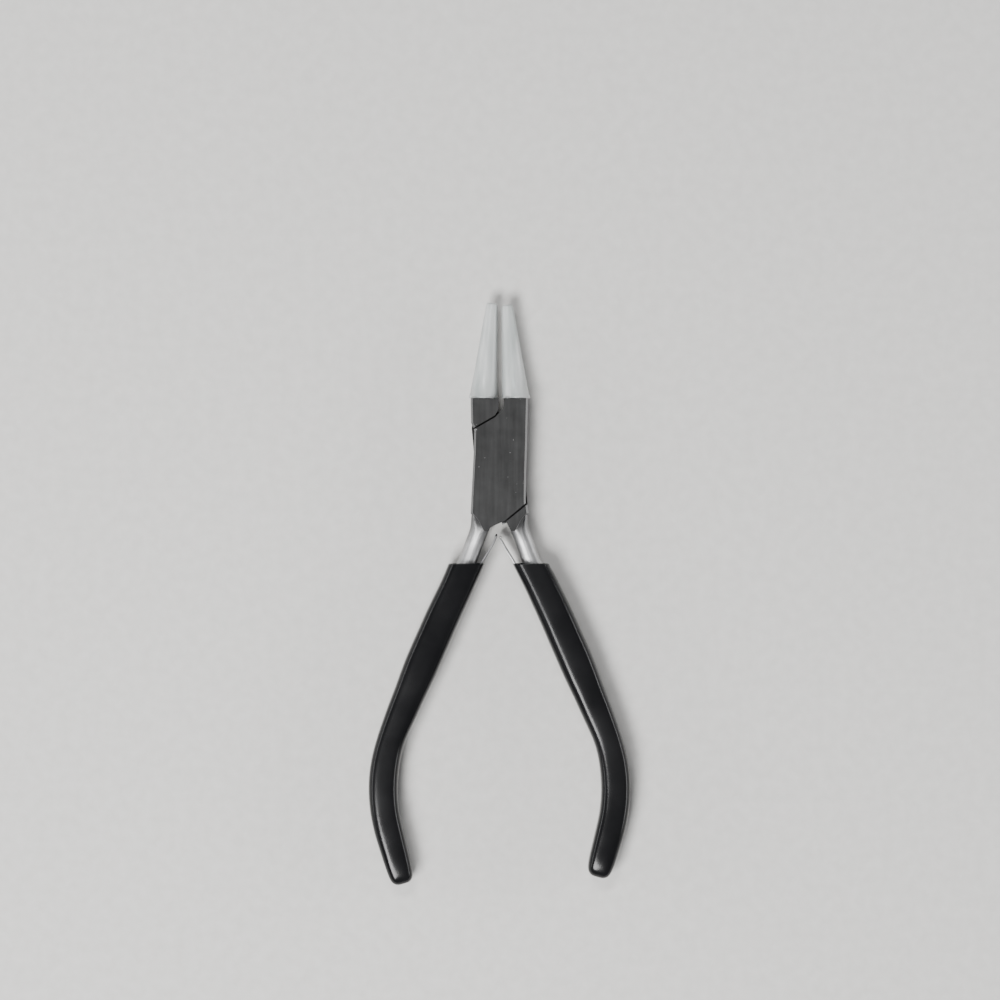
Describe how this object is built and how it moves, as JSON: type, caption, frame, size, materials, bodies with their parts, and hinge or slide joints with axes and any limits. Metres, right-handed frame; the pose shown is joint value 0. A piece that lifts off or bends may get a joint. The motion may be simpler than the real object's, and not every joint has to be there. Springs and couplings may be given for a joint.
{
  "type": "round nose pliers",
  "caption": "Hand pliers with cone-shaped nylon jaw sleeves, a flat box joint, leaf springs that open them and dipped grips with hooked ends.",
  "frame": {"origin": "where the pivot axis meets the back face of the joint", "axes": "+Y from the pivot to the jaws, +X to the right seen from the front, +Z along the pivot axis out of the front face"},
  "size_m": [0.0564, 0.1252, 0.008],
  "materials": {
    "forged_steel": "satin ground faces with brighter ground edges",
    "pin_steel": "ground flush with the joint",
    "nylon": "milky translucent nylon",
    "grip_pvc": "glossy dipped vinyl",
    "spring_steel": "bright rolled strip",
    "rivet_steel": "bare steel"
  },
  "bodies": {
    "box_side": {"box_half": "forged_steel", "pivot_pin": "pin_steel", "right_jaw_sleeve": "nylon", "left_grip": "grip_pvc", "left_leaf_spring": "spring_steel", "left_spring_rivets": "rivet_steel"},
    "through_side": {"through_half": "forged_steel", "left_jaw_sleeve": "nylon", "right_grip": "grip_pvc", "right_leaf_spring": "spring_steel", "right_spring_rivets": "rivet_steel"}
  },
  "joints": [
    {"name": "pivot", "type": "hinge", "parent": "box_side", "child": "through_side", "pos_m": [0, 0, 0.0033], "axis": [0, 0, 1], "range_deg": [-1.1, 20], "stiffness_Nm_per_rad": 0.35, "springref_deg": 21, "deforming": ["left_leaf_spring", "right_leaf_spring"]}
  ]
}
